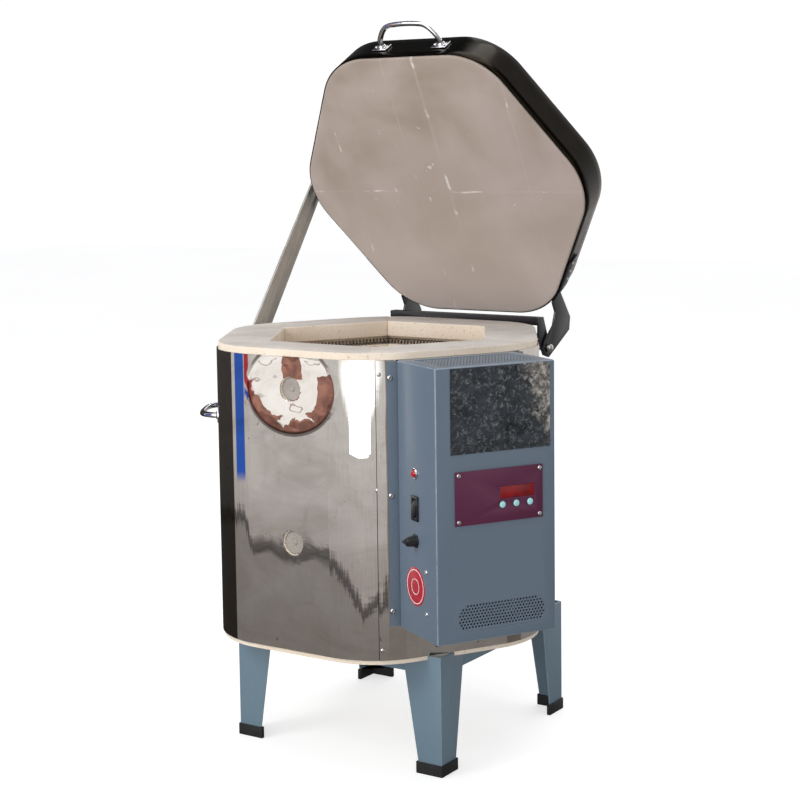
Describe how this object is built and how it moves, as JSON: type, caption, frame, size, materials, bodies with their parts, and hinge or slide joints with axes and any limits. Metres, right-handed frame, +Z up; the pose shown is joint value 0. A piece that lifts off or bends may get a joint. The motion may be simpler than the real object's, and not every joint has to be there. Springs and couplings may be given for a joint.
{
  "type": "glass kiln",
  "caption": "Small top-loading hexagonal glass kiln: brick chamber in a steel jacket, hinged banded lid with support arm, control box on one facet, angle-leg stand.",
  "frame": {"origin": "centre of the chamber floor, on its upper face", "axes": "+Z up; -Y out of the front facet; the control box is on the next facet towards +X and the lid hinge is at the back (+Y)"},
  "size_m": [0.577, 0.5598, 1.0036],
  "materials": {
    "brick": "matt, fine grained",
    "lid_brick": "matt, aged",
    "heating_wire": "oxidised coil",
    "stainless": "bright polished",
    "dark_band": "dark polished",
    "chrome": "polished",
    "brushed_bar": "brushed",
    "black_paint": "satin",
    "blue_grey_paint": "semi-gloss powder coat",
    "label": "speckled foil",
    "maroon_panel": "satin",
    "red_lens": "clear red",
    "cyan_button": "satin",
    "black_plastic": "satin",
    "circuit_board": "matt",
    "transformer_iron": "varnished",
    "ceramic": "matt",
    "rubber": "matt"
  },
  "bodies": {
    "kiln_body": {"floor_slab": "brick", "wall_front": "brick", "wall_front_right": "brick", "wall_back_right": "brick", "wall_back": "brick", "wall_back_left": "brick", "wall_front_left": "brick", "heating_element_1": "heating_wire", "heating_element_2": "heating_wire", "heating_element_3": "heating_wire", "outer_jacket": "stainless", "hinge_rod": "stainless", "keeper_rivet": "stainless", "side_handle_left": "chrome", "hinge_base": "black_paint", "box_cover": "blue_grey_paint", "box_back_plate": "blue_grey_paint", "front_vent_screen": "blue_grey_paint", "top_vent_screen": "blue_grey_paint", "leg_front_left": "blue_grey_paint", "leg_front_right": "blue_grey_paint", "leg_back_right": "blue_grey_paint", "leg_back_left": "blue_grey_paint", "stand_rail_front": "blue_grey_paint", "stand_rail_right": "blue_grey_paint", "stand_rail_back": "blue_grey_paint", "stand_rail_left": "blue_grey_paint", "blank_nameplate": "label", "controller_faceplate": "maroon_panel", "display_window": "red_lens", "pilot_lamp": "red_lens", "switch_bezel": "black_plastic", "fuse_holder": "black_plastic", "power_relay": "black_plastic", "terminal_block": "black_plastic", "cord_gland": "black_plastic", "controller_board": "circuit_board", "transformer": "transformer_iron", "thermocouple": "ceramic", "boot_front_left": "rubber", "boot_front_right": "rubber", "boot_back_right": "rubber", "boot_back_left": "rubber"},
    "lid": {"lid_slab": "lid_brick", "lid_band": "dark_band", "lid_handle": "chrome", "hinge_arm_right": "black_paint", "hinge_arm_left": "black_paint", "arm_pivot_bolt": "stainless"},
    "support_arm": {"support_arm": "brushed_bar", "arm_stop_bolt": "stainless"},
    "arm_keeper": {"arm_keeper": "stainless"},
    "peephole_plug_upper": {"peephole_plug_upper": "ceramic"},
    "peephole_plug_lower": {"peephole_plug_lower": "ceramic"},
    "button_1": {"button_1": "cyan_button"},
    "button_2": {"button_2": "cyan_button"},
    "button_3": {"button_3": "cyan_button"},
    "switch_rocker": {"switch_rocker": "black_plastic"},
    "fuse_cap": {"fuse_cap": "black_plastic"}
  },
  "joints": [
    {"name": "lid_hinge", "type": "hinge", "parent": "kiln_body", "child": "lid", "pos_m": [0, 0.246, 0.305], "axis": [1, 0, 0], "range_deg": [0, 61.6]},
    {"name": "arm_pivot", "type": "hinge", "parent": "lid", "child": "support_arm", "pos_m": [-0.245, 0.19614, 0.5486], "axis": [1, 0, 0], "range_deg": [-30.8, 0]},
    {"name": "keeper_pivot", "type": "hinge", "parent": "kiln_body", "child": "arm_keeper", "pos_m": [-0.245, -0.00099, 0.27628], "axis": [1, 0, 0], "range_deg": [0, 30.8]},
    {"name": "upper_plug_slide", "type": "slide", "parent": "kiln_body", "child": "peephole_plug_upper", "axis": [0, -1, 0], "range_m": [0, 0.09]},
    {"name": "lower_plug_slide", "type": "slide", "parent": "kiln_body", "child": "peephole_plug_lower", "axis": [0, -1, 0], "range_m": [0, 0.09]},
    {"name": "button_1_press", "type": "slide", "parent": "kiln_body", "child": "button_1", "axis": [-0.866, 0.5, 0], "range_m": [0, 0.001], "stiffness_N_per_m": 400},
    {"name": "button_2_press", "type": "slide", "parent": "kiln_body", "child": "button_2", "axis": [-0.866, 0.5, 0], "range_m": [0, 0.001], "stiffness_N_per_m": 400},
    {"name": "button_3_press", "type": "slide", "parent": "kiln_body", "child": "button_3", "axis": [-0.866, 0.5, 0], "range_m": [0, 0.001], "stiffness_N_per_m": 400},
    {"name": "rocker_tilt", "type": "hinge", "parent": "kiln_body", "child": "switch_rocker", "pos_m": [0.19183, -0.20775, 0.152], "axis": [0.866, -0.5, 0], "range_deg": [0, 24]},
    {"name": "fuse_cap_turn", "type": "hinge", "parent": "kiln_body", "child": "fuse_cap", "pos_m": [0.18633, -0.21727, 0.11], "axis": [0.5, 0.866, 0], "range_deg": [0, 90]}
  ],
  "couplings": [
    {"joint": "arm_pivot", "follows": "lid_hinge", "ratio": -0.5},
    {"joint": "keeper_pivot", "follows": "lid_hinge", "ratio": 0.5}
  ]
}
